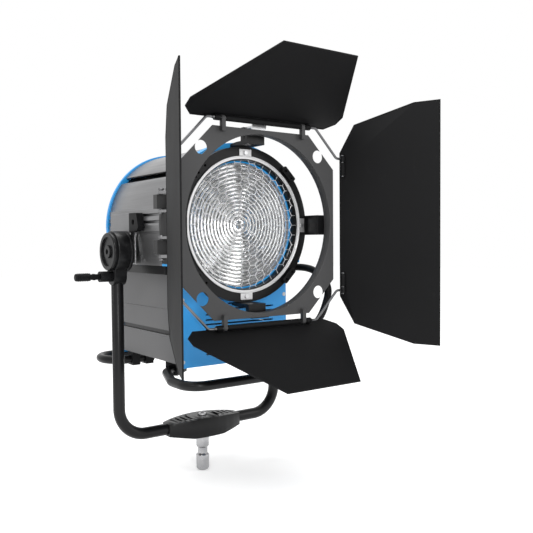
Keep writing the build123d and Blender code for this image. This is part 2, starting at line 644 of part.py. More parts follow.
# ================================================================ lamp carriage and focus drive
GUIDE_X = 62.0
GUIDE_Z = 394.0
GUIDE_R = 5.0
SUPPORT_FRONT = -48.0
SUPPORT_BACK = 92.0
SUPPORT_THICK = 8.0
with BuildPart() as rod_supports:
    for near in (SUPPORT_FRONT, SUPPORT_BACK):
        block((-76, near, SIDE_BOTTOM), (76, near + SUPPORT_THICK, SIDE_BOTTOM + 32))
    for x in (-GUIDE_X, GUIDE_X):
        rod((x, -60, GUIDE_Z), (x, 120, GUIDE_Z), GUIDE_R + GAP, mode=Mode.SUBTRACT)
    rod((0, -60, FOCUS_Z), (0, 120, FOCUS_Z), FOCUS_R + RUN, mode=Mode.SUBTRACT)
rod_supports.part.label = "rod_supports"
export_step(rod_supports.part, "parts/rod_supports.step")

with BuildPart() as guide_rods:
    for x in (-GUIDE_X, GUIDE_X):
        rod((x, SUPPORT_FRONT, GUIDE_Z), (x, SUPPORT_BACK + SUPPORT_THICK, GUIDE_Z), GUIDE_R)
guide_rods.part.label = "guide_rods"
export_step(guide_rods.part, "parts/guide_rods.step")

with BuildPart() as lead_screw:
    rod((0, SUPPORT_FRONT - 6, FOCUS_Z), (0, HOUSING_BACK + REAR_DEPTH + 20, FOCUS_Z), FOCUS_R)
lead_screw.part.label = "lead_screw"
export_step(lead_screw.part, "parts/lead_screw.step")

with BuildPart() as focus_knob:
    with BuildSketch(facing(HOUSING_BACK + REAR_DEPTH + 26, FOCUS_Z)):
        Circle(21)
        with PolarLocations(22, 12):
            Circle(3, mode=Mode.SUBTRACT)
    extrude(amount=25)
    rod((0, 0, FOCUS_Z), (0, HOUSING_BACK + REAR_DEPTH + 20 + GAP, FOCUS_Z), FOCUS_R + GAP,
        mode=Mode.SUBTRACT)
focus_knob.part.label = "focus_knob"
export_step(focus_knob.part, "parts/focus_knob.step")

LAMP_Y = 26.0
with BuildPart() as lamp_base:
    block((-76, 0, SIDE_BOTTOM + 5), (76, 52, SIDE_BOTTOM + 33))
    for x in (-GUIDE_X, GUIDE_X):
        rod((x, -10, GUIDE_Z), (x, 60, GUIDE_Z), GUIDE_R + RUN, mode=Mode.SUBTRACT)
    rod((0, -10, FOCUS_Z), (0, 60, FOCUS_Z), FOCUS_R + RUN, mode=Mode.SUBTRACT)
lamp_base.part.label = "lamp_base"
export_step(lamp_base.part, "parts/lamp_base.step")

REFLECTOR_R = 45.0
with BuildPart() as reflector:
    with BuildSketch(Plane.XY):
        with BuildLine():
            outer_arc = CenterArc((0, 0), REFLECTOR_R + 2, 90, -60)
            inner_arc = CenterArc((0, 0), REFLECTOR_R, 90, -60)
            Line(outer_arc @ 0, inner_arc @ 0)
            Line(outer_arc @ 1, inner_arc @ 1)
        make_face()
    revolve(axis=Axis.Y)
reflector_solid = reflector.part.moved(Location((0, LAMP_Y, LENS_Z)))
with BuildPart() as reflector_stand:
    add(reflector_solid)
    block((-10, LAMP_Y + 20, SIDE_BOTTOM + 33 + GAP), (10, LAMP_Y + 26, LENS_Z - 38))
reflector_stand.part.label = "reflector"
export_step(reflector_stand.part, "parts/reflector.step")

with BuildPart() as lamp_holder:
    block((-24, LAMP_Y - 16, SIDE_BOTTOM + 33 + GAP), (24, LAMP_Y + 16, LENS_Z - 26))
    for x in (-12, 12):
        rod((x, LAMP_Y, LENS_Z - 40), (x, LAMP_Y, LENS_Z), 3 + GAP, mode=Mode.SUBTRACT)
lamp_holder.part.label = "lamp_holder"
export_step(lamp_holder.part, "parts/lamp_holder.step")

with BuildPart() as lamp:
    with BuildSketch(Plane.XZ):
        with BuildLine():
            Polyline((0, -25.9), (16, -25.9), (16, -17), (9, -14))
            Spline((9, -14), (18, 4), (9, 22), (3, 30), tangents=((0.6, 1), (-0.2, 1)))
            Line((3, 30), (0, 31))
            Line((0, 31), (0, -25.9))
        make_face()
    revolve(axis=Axis.Z)
    for x in (-12, 12):
        rod((x, 0, -38), (x, 0, -25.9), 3)
lamp_solid = lamp.part.moved(Location((0, LAMP_Y, LENS_Z)))
lamp_solid.label = "lamp"
export_step(lamp_solid, "parts/lamp.step")

# ================================================================ lens door
def polar(radius, angle, y):
    """Point at a radius and an angle round the lens axis; zero points right and 90 points up."""
    return (radius * cos(radians(angle)), y, LENS_Z + radius * sin(radians(angle)))


SEAT_Y = depth(80)
with BuildPart() as door_ring:
    with BuildSketch(facing(RING_BACK)):
        Circle(RING_R)
        Circle(LENS_CLEAR / 2 + 1, mode=Mode.SUBTRACT)
    extrude(amount=RING_BACK - RING_FRONT)
    with BuildSketch(facing(RING_BACK)):
        Circle(LENS_R + 1)
    extrude(amount=RING_BACK - SEAT_Y, mode=Mode.SUBTRACT)
    for angle in range(0, 360, 90):
        rod(polar(140, angle, RING_FRONT - 5), polar(140, angle, RING_FRONT + 12), 2 + GAP,
            mode=Mode.SUBTRACT)
door_ring.part.label = "door_ring"
export_step(door_ring.part, "parts/door_ring.step")

GROOVE = 8.0
GROOVE_DEPTH = 3.5
with BuildPart() as lens:
    with BuildSketch(Plane.XY):
        with BuildLine():
            outline = [(0, -0.8), (0, 4.8), (LENS_R, 4.8), (LENS_R, GAP), (LENS_CLEAR / 2 - 1, GAP)]
            for ring in range(14, 0, -1):
                edge = ring * GROOVE + 10
                outline += [(edge, -0.4), (edge - GROOVE + 0.5, -0.4 - GROOVE_DEPTH)]
            Polyline(*outline, (10, -0.4), close=True)
        make_face()
    revolve(axis=Axis.Y)
lens_solid = lens.part.moved(Location((0, SEAT_Y, LENS_Z)))
lens_solid.label = "lens"
export_step(lens_solid, "parts/lens.step")

with BuildPart() as lens_rim:
    with BuildSketch(facing(SEAT_Y - 0.2)):
        Circle(LENS_CLEAR / 2 + 1 - GAP)
        Circle(LENS_CLEAR / 2 - 2, mode=Mode.SUBTRACT)
    extrude(amount=2)
lens_rim.part.label = "lens_rim"
export_step(lens_rim.part, "parts/lens_rim.step")

MESH_R = 134.0
with BuildPart() as mesh_ring:
    with BuildSketch(facing(RING_FRONT - GAP)):
        Circle(MESH_R)
        with PolarLocations(MESH_R + 5, 4):
            Rectangle(16, 28)
        Circle(MESH_R - 6, mode=Mode.SUBTRACT)
        with PolarLocations(140, 4):
            Circle(2 + GAP, mode=Mode.SUBTRACT)
    extrude(amount=2)
    with BuildSketch(facing(RING_FRONT - GAP)):
        Circle(MESH_R)
        Circle(MESH_R - 2, mode=Mode.SUBTRACT)
    extrude(amount=4)
mesh_ring.part.label = "mesh_ring"
export_step(mesh_ring.part, "parts/mesh_ring.step")

CELL = 20.0             # across the flats of a mesh cell, wire centre to wire centre
WIRE = 1.5
with BuildPart() as wire_mesh:
    with BuildSketch(facing(RING_FRONT + 1.6)):
        Circle(LENS_CLEAR / 2 + 0.8)
        columns = range(-8, 9)
        rows = range(-8, 9)
        centres = [
            (column * CELL * sqrt(3) / 2, (row + column % 2 / 2) * CELL)
            for column in columns for row in rows
        ]
        inside = [(x, y) for x, y in centres if sqrt(x * x + y * y) < LENS_CLEAR / 2 - CELL / 2 - 2]
        with Locations(*inside):
            RegularPolygon((CELL - WIRE) / 2, 6, major_radius=False, mode=Mode.SUBTRACT)
    extrude(amount=WIRE)
wire_mesh.part.label = "wire_mesh"
export_step(wire_mesh.part, "parts/wire_mesh.step")

with BuildPart() as mesh_screws:
    for angle in range(0, 360, 90):
        rod(polar(140, angle, RING_FRONT - 3), polar(140, angle, RING_FRONT + 8), 2)
        rod(polar(140, angle, RING_FRONT - 4.7), polar(140, angle, RING_FRONT - 2 - 2 * GAP), 4)
mesh_screws.part.label = "mesh_screws"
export_step(mesh_screws.part, "parts/mesh_screws.step")

BRACKET_HALF = 20.0
LATCH_PIN = (181.0, depth(40))   # radius and Y of the top latch's hinge


def bracket_profile(lip):
    """Section of an accessory bracket through the lens axis, drawn above it in a side plane."""
    points = [(depth(82), 152.2), (depth(82), 158), (depth(60), 160), (depth(34), 160), (depth(28), 178)]
    if lip:
        points += [(depth(28), 179), (depth(11), 179), (depth(11), 171.5), (depth(16), 171.5),
                   (depth(16), 175.5), (depth(22), 175.5)]
    else:
        points += [(depth(22), 174)]
    points += [(depth(22), 152.2)]
    with BuildLine() as outline:
        Polyline(*[(y, LENS_Z + radius) for y, radius in points], close=True)
    make_face(outline.edges())


def bracket(lip):
    """One accessory bracket above the lens axis."""
    with BuildPart() as piece:
        with BuildSketch(side_plane(-BRACKET_HALF)):
            bracket_profile(lip)
        extrude(amount=2 * BRACKET_HALF)
        block((-BRACKET_HALF + 5, depth(40), LENS_Z + 156), (BRACKET_HALF - 5, depth(76), LENS_Z + 165),
              mode=Mode.SUBTRACT)
        if not lip:
            for side in (-1, 1):
                block((side * 18.5 - 1.5, depth(34), LENS_Z + 158),
                      (side * 18.5 + 1.5, depth(45), LENS_Z + 185))
            pin_z, pin_y = LENS_Z + LATCH_PIN[0], LATCH_PIN[1]
            rod((-30, pin_y, pin_z), (30, pin_y, pin_z), 2 + RUN, mode=Mode.SUBTRACT)
    return piece.part


LENS_AXIS = Axis((0, 0, LENS_Z), (0, 1, 0))
bracket_solids = [bracket(lip=False)]
bracket_solids += [bracket(lip=True).rotate(LENS_AXIS, angle) for angle in (90, 180, 270)]
with BuildPart() as accessory_brackets:
    add(bracket_solids)
accessory_brackets.part.label = "accessory_brackets"
export_step(accessory_brackets.part, "parts/accessory_brackets.step")

with BuildPart() as top_latch:
    latch_z = LENS_Z + LATCH_PIN[0]
    rod((-20, LATCH_PIN[1], latch_z), (20, LATCH_PIN[1], latch_z), 2)
    rod((-16, LATCH_PIN[1], latch_z), (16, LATCH_PIN[1], latch_z), 4)
    block((-16, depth(11), latch_z + 0.5), (16, depth(40), latch_z + 4))
    block((-16, depth(11), LENS_Z + 171.5), (16, depth(16), latch_z + 4))
    block((-16, depth(11), latch_z), (16, depth(14), LENS_Z + 192))
    fillet(top_latch.edges().filter_by(Axis.Y).group_by(Axis.Z)[-1], 4)
top_latch.part.label = "top_latch"
export_step(top_latch.part, "parts/top_latch.step")

with BuildPart() as door_blocks:
    with BuildSketch(facing(RING_FRONT - GAP)):
        with PolarLocations(145, 4, start_angle=45):
            RectangleRounded(13, 36, 3)
            with Locations((0, -10), (0, 10)):
                Circle(2.5, mode=Mode.SUBTRACT)
    extrude(amount=8)
door_blocks.part.label = "door_blocks"
export_step(door_blocks.part, "parts/door_blocks.step")

EARS = ((22, 27), (56, 62))
with BuildPart() as door_hinge_lugs:
    for side in (-1, 1):
        for low, high in EARS:
            with BuildSketch(Plane.XY.offset(LENS_Z + min(side * low, side * high))):
                with BuildLine():
                    Polyline((-136, RING_FRONT + 2), (-160, RING_FRONT + 2), (DOOR_PIN_X - 6, DOOR_PIN_Y - 8),
                             (DOOR_PIN_X - 6, DOOR_PIN_Y), (DOOR_PIN_X + 6, DOOR_PIN_Y),
                             (DOOR_PIN_X + 6, RING_BACK - 1), (-136, RING_BACK - 1), close=True)
                make_face()
                with Locations((DOOR_PIN_X, DOOR_PIN_Y)):
                    Circle(6)
            extrude(amount=high - low)
    rod((0, depth(30), LENS_Z), (0, depth(110), LENS_Z), RING_R + GAP, mode=Mode.SUBTRACT)
    rod((DOOR_PIN_X, DOOR_PIN_Y, LENS_Z - 80), (DOOR_PIN_X, DOOR_PIN_Y, LENS_Z + 80), DOOR_PIN_R + RUN,
        mode=Mode.SUBTRACT)
door_hinge_lugs.part.label = "door_hinge_lugs"
export_step(door_hinge_lugs.part, "parts/door_hinge_lugs.step")

DOOR_PIN_HEAD = 5.5     # radius of the pin's head
with BuildPart() as door_hinge_pins:
    for side in (-1, 1):
        inner, shoulder, tip = [(DOOR_PIN_X, DOOR_PIN_Y, LENS_Z + side * z) for z in (20, 64, 67)]
        rod(inner, shoulder, DOOR_PIN_R)
        rod(shoulder, tip, DOOR_PIN_HEAD)
door_hinge_pins.part.label = "door_hinge_pins"
export_step(door_hinge_pins.part, "parts/door_hinge_pins.step")

# ================================================================ barndoor
HINGE_Y = FACE_Y - HINGE_DROP
BARREL_R = 5.5
LUG_R = 5.3
with BuildPart() as barndoor_frame:
    with BuildSketch(facing(FACE_Y + FRAME_SHEET)):
        with BuildLine():
            corners = [(FRAME_EDGE, FRAME_HALF), (FRAME_HALF, FRAME_EDGE)]
            corners += [(x, -y) for x, y in reversed(corners)]
            corners += [(-x, y) for x, y in reversed(corners)]
            Polyline(*corners, close=True)
        make_face()
        Circle(COLLAR_R - 2, mode=Mode.SUBTRACT)
        with PolarLocations(135 * sqrt(2), 4, start_angle=45):
            Circle(12.5, mode=Mode.SUBTRACT)
    extrude(amount=FRAME_SHEET)
    with BuildSketch(facing(depth(17))):
        Circle(COLLAR_R)
        Circle(COLLAR_R - 2, mode=Mode.SUBTRACT)
    extrude(amount=17 - FRAME_SHEET)
    with BuildSketch(facing(depth(20))):
        Circle(FLANGE_R)
        Circle(COLLAR_R - 2, mode=Mode.SUBTRACT)
    extrude(amount=3)
barndoor_frame.part.label = "barndoor_frame"
export_step(barndoor_frame.part, "parts/barndoor_frame.step")


def hinge_point(quarter, along, beyond=0.0):
    """Point on the hinge axis of leaf number quarter (0 top, 1 right, 2 bottom, 3 left)."""
    reach = HINGE_SIDE if quarter % 2 else HINGE_OUT
    x, z = along, reach + beyond
    for _ in range(quarter):
        x, z = z, -x
    return (x, HINGE_Y, LENS_Z + z)


LUG_NEAR = 88.0         # start of a lug along the hinge, from the middle of the plate
LUG_WIDE = 8.0
LUG_ROOT = 166.0        # how close to the lens axis a lug reaches along the plate
with BuildPart() as hinge_lugs:
    for up in (-1, 1):
        for side in (-1, 1):
            near, far = sorted((side * LUG_NEAR, side * (LUG_NEAR + LUG_WIDE)))
            low, high = sorted((LENS_Z + up * LUG_ROOT, LENS_Z + up * HINGE_OUT))
            block((near, HINGE_Y - LUG_R, low), (far, FACE_Y - GAP, high))
            rod((near, HINGE_Y, LENS_Z + up * HINGE_OUT), (far, HINGE_Y, LENS_Z + up * HINGE_OUT), LUG_R)
        rod((-120, HINGE_Y, LENS_Z + up * HINGE_OUT), (120, HINGE_Y, LENS_Z + up * HINGE_OUT), ROD_R + GAP,
            mode=Mode.SUBTRACT)
hinge_lugs.part.label = "hinge_lugs"
export_step(hinge_lugs.part, "parts/hinge_lugs.step")

with BuildPart() as hinge_knobs:
    for quarter in range(4):
        low, high = (128, 140) if quarter % 2 else (98, 110)
        for side in (-1, 1):
            rod(hinge_point(quarter, side * low), hinge_point(quarter, side * high), 5.8)
        rod(hinge_point(quarter, -150), hinge_point(quarter, 150), ROD_R + GAP, mode=Mode.SUBTRACT)
hinge_knobs.part.label = "hinge_knobs"
export_step(hinge_knobs.part, "parts/hinge_knobs.step")

CORNER_R = 2.5
SIDE_PIN = (98.0, 142.0)     # ends of a side leaf's hinge pins, from the lens axis's height
with BuildPart() as frame_rods:
    for quarter in (0, 2):
        rod(hinge_point(quarter, -114), hinge_point(quarter, 114), ROD_R)
    for quarter in (1, 3):
        for side in (-1, 1):
            rod(hinge_point(quarter, side * SIDE_PIN[0]), hinge_point(quarter, side * SIDE_PIN[1]), ROD_R)
    for side_x in (-1, 1):
        for side_z in (-1, 1):
            with BuildLine() as corner_path:
                FilletPolyline(
                    *[(side_x * x, HINGE_Y, LENS_Z + side_z * z) for x, z in
                      ((114.2, HINGE_OUT), (126, HINGE_OUT), (181, 134), (HINGE_SIDE - 6, 134))],
                    radius=10,
                )
            corner_wire = corner_path.wires()[0]
            with BuildSketch(Plane(origin=corner_wire @ 0, z_dir=corner_wire % 0)):
                Circle(CORNER_R)
            sweep(path=corner_wire)
frame_rods.part.label = "frame_rods"
export_step(frame_rods.part, "parts/frame_rods.step")

NARROW_LEAF = ((154, -7), (172, 12), (173, 34), (81, 194))
RIGHT_LEAF = ((147, -7), (202, 23), (238, 144), (241, 194))
LEFT_LEAF = ((147, -7), (196, 23), (232, 144), (234, 194))      # nests inside the right leaf when both close


def build_leaf(quarter, opening):
    """Leaf with its hinge barrel, opened by an angle from straight ahead."""
    outline_half = (NARROW_LEAF, RIGHT_LEAF, NARROW_LEAF, LEFT_LEAF)[quarter]
    barrels = ((-126, -100), (100, 126)) if quarter % 2 else ((-86, 86),)
    axis = Vector(*hinge_point(quarter, 1)) - Vector(*hinge_point(quarter, 0))
    outward = Vector(*hinge_point(quarter, 0, 1)) - Vector(*hinge_point(quarter, 0))
    reach = Vector(0, -cos(radians(opening)), 0) + outward * sin(radians(opening))
    inward = axis.cross(reach)
    hinge = Vector(*hinge_point(quarter, 0))
    with BuildPart() as leaf:
        with BuildSketch(Plane(origin=hinge - inward * LEAF_OFFSET, x_dir=axis, z_dir=inward)):
            with BuildLine():
                right = list(outline_half)
                Polyline(*right, *[(-u, v) for u, v in reversed(right)], close=True)
            make_face()
        extrude(amount=-LEAF_SHEET)
        for low, high in barrels:
            with BuildSketch(Plane(origin=hinge + axis * low, x_dir=reach, z_dir=axis)):
                Circle(BARREL_R)
                with Locations((0, -LEAF_OFFSET / 2)):
                    Rectangle(5, LEAF_OFFSET)
                Circle(ROD_R + RUN, mode=Mode.SUBTRACT)
            extrude(amount=high - low)
    return leaf.part


top_leaf = build_leaf(0, 28.5)
top_leaf.label = "top_leaf"
export_step(top_leaf, "parts/top_leaf.step")

right_leaf = build_leaf(1, 32)
right_leaf.label = "right_leaf"
export_step(right_leaf, "parts/right_leaf.step")

bottom_leaf = build_leaf(2, 26)
bottom_leaf.label = "bottom_leaf"
export_step(bottom_leaf, "parts/bottom_leaf.step")

left_leaf = build_leaf(3, 22.5)
left_leaf.label = "left_leaf"
export_step(left_leaf, "parts/left_leaf.step")
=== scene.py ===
"""Looks of the fresnel spotlight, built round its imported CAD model. Blender 4.5, metres, row frame."""
import json
import math

import bpy
from mathutils import Matrix, Vector


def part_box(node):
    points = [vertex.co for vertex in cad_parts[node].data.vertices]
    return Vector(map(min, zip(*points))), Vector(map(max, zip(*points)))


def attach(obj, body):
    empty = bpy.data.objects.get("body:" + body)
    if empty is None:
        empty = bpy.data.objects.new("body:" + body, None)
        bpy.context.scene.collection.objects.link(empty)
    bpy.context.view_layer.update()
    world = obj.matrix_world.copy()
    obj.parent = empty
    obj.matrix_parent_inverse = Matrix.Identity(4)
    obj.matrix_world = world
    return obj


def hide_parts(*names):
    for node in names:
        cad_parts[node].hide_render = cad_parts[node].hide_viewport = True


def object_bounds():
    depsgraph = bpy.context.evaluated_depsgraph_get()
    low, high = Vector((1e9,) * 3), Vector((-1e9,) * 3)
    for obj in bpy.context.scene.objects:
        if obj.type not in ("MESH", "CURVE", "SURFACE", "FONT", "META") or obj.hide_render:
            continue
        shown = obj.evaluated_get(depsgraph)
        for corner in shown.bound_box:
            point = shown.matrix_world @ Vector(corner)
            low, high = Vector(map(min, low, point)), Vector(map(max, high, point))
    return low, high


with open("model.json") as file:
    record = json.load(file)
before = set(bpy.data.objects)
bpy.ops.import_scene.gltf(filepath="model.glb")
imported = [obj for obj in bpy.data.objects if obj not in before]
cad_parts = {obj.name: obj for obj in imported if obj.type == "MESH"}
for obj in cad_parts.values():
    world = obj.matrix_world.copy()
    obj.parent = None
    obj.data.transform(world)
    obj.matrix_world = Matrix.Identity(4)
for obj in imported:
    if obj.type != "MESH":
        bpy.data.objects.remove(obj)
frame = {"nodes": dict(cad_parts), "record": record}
cad_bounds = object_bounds()
MM = 0.001
LENS_Z = 0.449              # height of the lens axis


# ---------------------------------------------------------------- materials
class Nodes:
    """Short way to wire one material's node tree."""

    def __init__(self, name):
        self.material = bpy.data.materials.new(name)
        self.material.use_nodes = True
        self.tree = self.material.node_tree
        self.tree.nodes.clear()
        self.coords = self.add("ShaderNodeTexCoord").outputs["Object"]

    def add(self, kind, **values):
        node = self.tree.nodes.new(kind)
        for key, value in values.items():
            if key in node.inputs:
                self.feed(node.inputs[key], value)
            else:
                setattr(node, key, value)
        return node

    def feed(self, socket, value):
        if isinstance(value, bpy.types.NodeSocket):
            self.tree.links.new(value, socket)
        else:
            socket.default_value = value

    def noise(self, scale, detail=2.0, stretch=(1, 1, 1), roughness=0.5):
        mapping = self.add("ShaderNodeMapping")
        self.feed(mapping.inputs["Vector"], self.coords)
        mapping.inputs["Scale"].default_value = stretch
        node = self.add("ShaderNodeTexNoise", Scale=scale, Detail=detail, Roughness=roughness)
        self.feed(node.inputs["Vector"], mapping.outputs["Vector"])
        return node.outputs["Fac"]

    def ramp(self, factor, stops):
        """Map a factor through (position, value) stops, as a grey value."""
        node = self.add("ShaderNodeValToRGB", Fac=factor)
        elements = node.color_ramp.elements
        while len(elements) < len(stops):
            elements.new(0.5)
        for element, (position, value) in zip(elements, stops):
            element.position = position
            element.color = (value, value, value, 1)
        return node.outputs["Color"]

    def mix(self, factor, a, b):
        node = self.add("ShaderNodeMix", data_type="RGBA")
        self.feed(node.inputs["Factor"], factor)
        self.feed(node.inputs[6], a)
        self.feed(node.inputs[7], b)
        return node.outputs[2]

    def math(self, operation, a, b=0.0):
        node = self.add("ShaderNodeMath", operation=operation)
        self.feed(node.inputs[0], a)
        self.feed(node.inputs[1], b)
        return node.outputs[0]

    def edges(self, radius, sharpness=1.0):
        """1 along sharp outer edges, 0 on flats, from the difference between true and rounded normals."""
        rounded = self.add("ShaderNodeBevel", samples=4)
        rounded.inputs["Radius"].default_value = radius
        true_normal = self.add("ShaderNodeNewGeometry").outputs["Normal"]
        dot = self.add("ShaderNodeVectorMath", operation="DOT_PRODUCT")
        self.feed(dot.inputs[0], rounded.outputs["Normal"])
        self.feed(dot.inputs[1], true_normal)
        bend = self.math("SUBTRACT", 1.0, dot.outputs["Value"])
        return self.math("MULTIPLY", bend, 6.0 * sharpness)

    def bump(self, height, strength, distance):
        node = self.add("ShaderNodeBump", Height=height, Strength=strength, Distance=distance)
        return node.outputs["Normal"]

    def finish(self, **values):
        shader = self.add("ShaderNodeBsdfPrincipled")
        for key, value in values.items():
            self.feed(shader.inputs[key.replace("_", " ")], value)
        output = self.add("ShaderNodeOutputMaterial")
        self.tree.links.new(shader.outputs[0], output.inputs[0])
        return self.material


def rgba(r, g, b):
    return (r, g, b, 1.0)


def powder_coat(name, colour, worn, roughness=0.42, grain=900, wear=0.5, depth=0.00006,
                specular=0.5):
    """Sprayed powder coat: fine orange peel, faint patches, paint thinned along edges and a few scuffs."""
    n = Nodes(name)
    peel = n.noise(grain, 3)
    patches = n.noise(9, 4, roughness=0.6)
    scuffs = n.ramp(n.noise(60, 6, stretch=(1, 1, 0.25), roughness=0.75), ((0.64, 0), (0.72, 1)))
    edge = n.math("MULTIPLY", n.edges(0.0009), n.ramp(n.noise(180, 4), ((0.38, 0), (0.6, 1))))
    bright = tuple(min(1, c * 1.18 + 0.002) for c in colour[:3]) + (1,)
    dark = tuple(c * 0.84 for c in colour[:3]) + (1,)
    base = n.mix(patches, dark, bright)
    base = n.mix(n.math("MULTIPLY", edge, wear), base, worn)
    base = n.mix(n.math("MULTIPLY", scuffs, 0.10), base, worn)
    rough = n.math("ADD", n.math("MULTIPLY", patches, 0.16), roughness - 0.08)
    rough = n.math("ADD", rough, n.math("MULTIPLY", scuffs, 0.08))
    return n.finish(Base_Color=base, Roughness=rough, Specular_IOR_Level=specular,
                    Normal=n.bump(peel, 0.35, depth))


def metal(name, colour, roughness=0.3, brush=(1, 1, 1), fine=700, depth=0.00003, metallic=1.0):
    """Bare or plated metal: brushed lines along one direction, smears in the roughness."""
    n = Nodes(name)
    lines = n.noise(fine, 4, stretch=brush, roughness=0.65)
    smear = n.noise(25, 4)
    dark = tuple(c * 0.86 for c in colour[:3]) + (1,)
    base = n.mix(n.math("MULTIPLY", lines, smear), colour, dark)
    rough = n.math("ADD", n.math("MULTIPLY", smear, 0.22), roughness - 0.1)
    return n.finish(Base_Color=base, Roughness=rough, Metallic=metallic, Normal=n.bump(lines, 0.4, depth))


def plastic(name, colour, roughness=0.5, grain=1400, depth=0.00005, specular=0.12):
    """Moulded plastic or rubber: fine grain, dusty patches, scuffed edges."""
    n = Nodes(name)
    grain_height = n.noise(grain, 2)
    dust = n.noise(35, 5, roughness=0.65)
    pale = tuple(min(1, c * 1.5 + 0.01) for c in colour[:3]) + (1,)
    base = n.mix(n.ramp(dust, ((0.45, 0), (0.75, 0.5))), colour, pale)
    base = n.mix(n.math("MULTIPLY", n.edges(0.0006), 0.35), base, pale)
    rough = n.math("ADD", n.math("MULTIPLY", dust, 0.15), roughness - 0.07)
    return n.finish(Base_Color=base, Roughness=rough, Specular_IOR_Level=specular,
                    Normal=n.bump(grain_height, 0.5, depth))


def glass(name, tint, roughness, ripple, depth, alpha=1.0):
    """Clear glass with a faint ripple moulded into its surface."""
    n = Nodes(name)
    waves = n.noise(ripple, 2)
    return n.finish(
        Base_Color=tint, Roughness=roughness, IOR=1.47, Transmission_Weight=alpha,
        Normal=n.bump(waves, 0.5, depth),
    )


def casting_paint():
    """Blue coat of the front casting; the hinge blocks that stand out at its side are black."""
    n = Nodes("blue_casting_with_black_hinge_blocks")
    split = n.add("ShaderNodeSeparateXYZ", Vector=n.coords)
    block_x, block_half_height = -0.138, 0.074
    outside = n.math("LESS_THAN", split.outputs["X"], block_x)
    from_axis = n.math("ABSOLUTE", n.math("SUBTRACT", split.outputs["Z"], LENS_Z))
    beside = n.math("LESS_THAN", from_axis, block_half_height)
    block = n.math("MULTIPLY", outside, beside)
    patches = n.noise(9, 4, roughness=0.6)
    blue = n.mix(patches, rgba(0.016, 0.22, 0.50), rgba(0.026, 0.30, 0.66))
    base = n.mix(block, blue, rgba(0.006, 0.006, 0.0065))
    rough = n.math("ADD", n.math("MULTIPLY", patches, 0.16), 0.32)
    return n.finish(Base_Color=base, Roughness=rough, Normal=n.bump(n.noise(900, 3), 0.35, 0.00006))


def brushed_panel(name):
    """Anodised panel brushed along its length: fine lines, soft streaks and slightly uneven tone."""
    n = Nodes(name)
    lines = n.noise(700, 4, stretch=(1, 0.02, 1), roughness=0.65)
    streaks = n.noise(60, 3, stretch=(1, 0.04, 1), roughness=0.6)
    smear = n.noise(14, 3)
    tone = n.mix(streaks, rgba(0.20, 0.20, 0.204), rgba(0.33, 0.33, 0.335))
    base = n.mix(n.math("MULTIPLY", lines, 0.45), tone, rgba(0.12, 0.12, 0.123))
    rough = n.math("ADD", n.math("MULTIPLY", smear, 0.18), 0.27)
    return n.finish(Base_Color=base, Roughness=rough, Metallic=0.9, Normal=n.bump(lines, 0.4, 0.00003))


BLACK = rgba(0.003, 0.003, 0.0034)
materials = {
    "blue_paint": powder_coat("blue_powder_coat", rgba(0.018, 0.23, 0.54), rgba(0.35, 0.5, 0.6), 0.38,
                              wear=0.25),
    "grey_panel": brushed_panel("brushed_anodised_panel"),
    "black_paint": powder_coat("black_powder_coat", BLACK, rgba(0.03, 0.03, 0.03), 0.30, wear=0.3,
                               specular=0.22),
    "leaf_paint": powder_coat("black_heat_paint", BLACK, rgba(0.05, 0.05, 0.05), 0.62, wear=0.5,
                              specular=0.13),
    "frame_paint": powder_coat("dark_grey_heat_paint", rgba(0.042, 0.042, 0.043), rgba(0.14, 0.14, 0.14), 0.5,
                               wear=0.5, specular=0.25),
    "steel": metal("zinc_plated_steel", rgba(0.62, 0.62, 0.63), 0.30),
    "bare_aluminium": metal("brushed_aluminium", rgba(0.88, 0.88, 0.88), 0.34, brush=(1, 0.05, 1)),
    "rail": metal("anodised_rail", rgba(0.20, 0.20, 0.205), 0.42, brush=(1, 0.03, 1), metallic=0.7),
    "spigot_steel": metal("plated_spigot", rgba(0.40, 0.40, 0.41), 0.26, brush=(0.05, 0.05, 1)),
    "lens_glass": glass("lens_glass", rgba(0.97, 0.98, 0.985), 0.05, 90, 0.00012, alpha=0.93),
    "lamp_glass": glass("quartz", rgba(0.98, 0.98, 0.98), 0.02, 60, 0.0001),
    "mirror": metal("reflector_mirror", rgba(0.92, 0.92, 0.93), 0.12),
    "ceramic": plastic("lamp_ceramic", rgba(0.75, 0.72, 0.66), 0.6),
    "black_plastic": plastic("black_plastic", BLACK, 0.46),
    "red_plastic": plastic("red_plastic", rgba(0.45, 0.012, 0.01), 0.35, grain=300),
    "cable_rubber": plastic("cable_rubber", BLACK, 0.55, grain=500),
    "rubber": plastic("rubber", BLACK, 0.7, grain=500),
    "blue_seal": plastic("blue_silicone", rgba(0.03, 0.32, 0.72), 0.45),
}
materials["black_alloy"] = materials["black_paint"]
casting_look = casting_paint()
lower_look = powder_coat("grey_lower_panel", rgba(0.062, 0.062, 0.064), rgba(0.25, 0.25, 0.25), 0.42,
                         wear=0.3)
rod_look = metal("dark_steel_rod", rgba(0.16, 0.16, 0.165), 0.38)
lug_look = metal("dull_cast_lug", rgba(0.24, 0.24, 0.245), 0.46)
guard_ring_look = metal("satin_guard_ring", rgba(0.60, 0.60, 0.605), 0.42, brush=(1, 0.05, 1))
wire_look = metal("galvanised_wire", rgba(0.66, 0.66, 0.67), 0.36)
own_looks = {"front_casting": casting_look, "lower_panels": lower_look, "base_tray": lower_look,
             "frame_rods": rod_look, "door_hinge_pins": rod_look, "door_hinge_lugs": lug_look,
             "mesh_ring": guard_ring_look}

